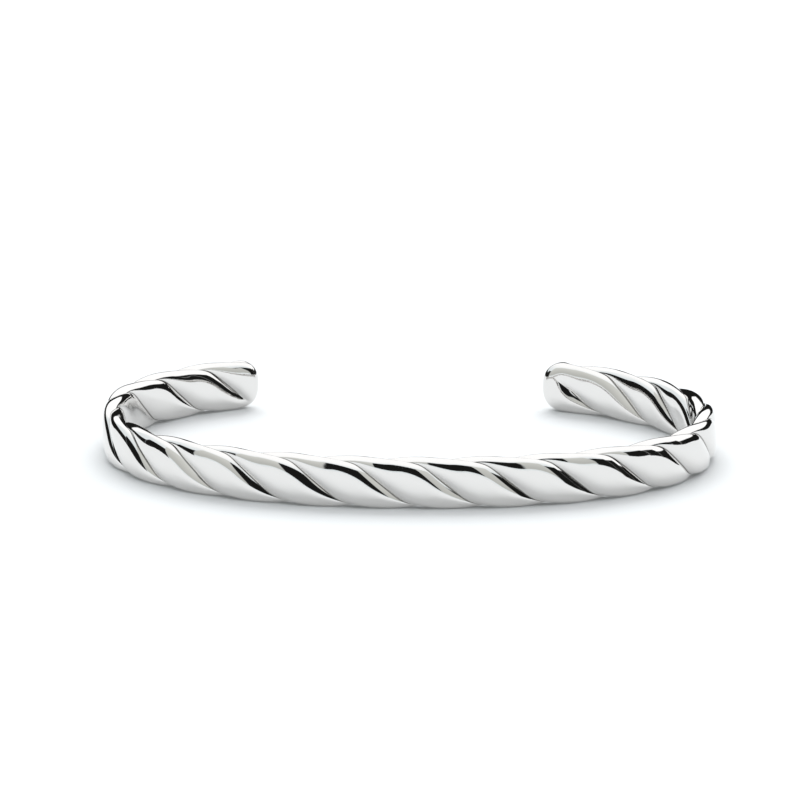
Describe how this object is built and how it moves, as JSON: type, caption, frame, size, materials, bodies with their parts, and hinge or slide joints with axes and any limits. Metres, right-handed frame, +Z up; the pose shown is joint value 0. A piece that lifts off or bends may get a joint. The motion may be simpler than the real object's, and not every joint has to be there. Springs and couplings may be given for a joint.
{
  "type": "twisted wire cuff bangle",
  "caption": "Open oval cuff bangle of twisted round wires rolled to a flat band, with smooth rounded ends either side of the gap.",
  "frame": {"origin": "under the middle of the cuff's bounding box, on the surface that the cuff lies on", "axes": "+X is to the right across the wrist, along the oval's longer width, as seen from the front. +Y points backwards, from the closed front of the cuff towards the gap between its ends. +Z is up, along the wrist's axis."},
  "size_m": [0.0628, 0.0436, 0.0052],
  "materials": {
    "polished_silver": "polished sterling silver"
  },
  "bodies": {
    "root": {"twisted_cuff": "polished_silver"}
  },
  "joints": []
}
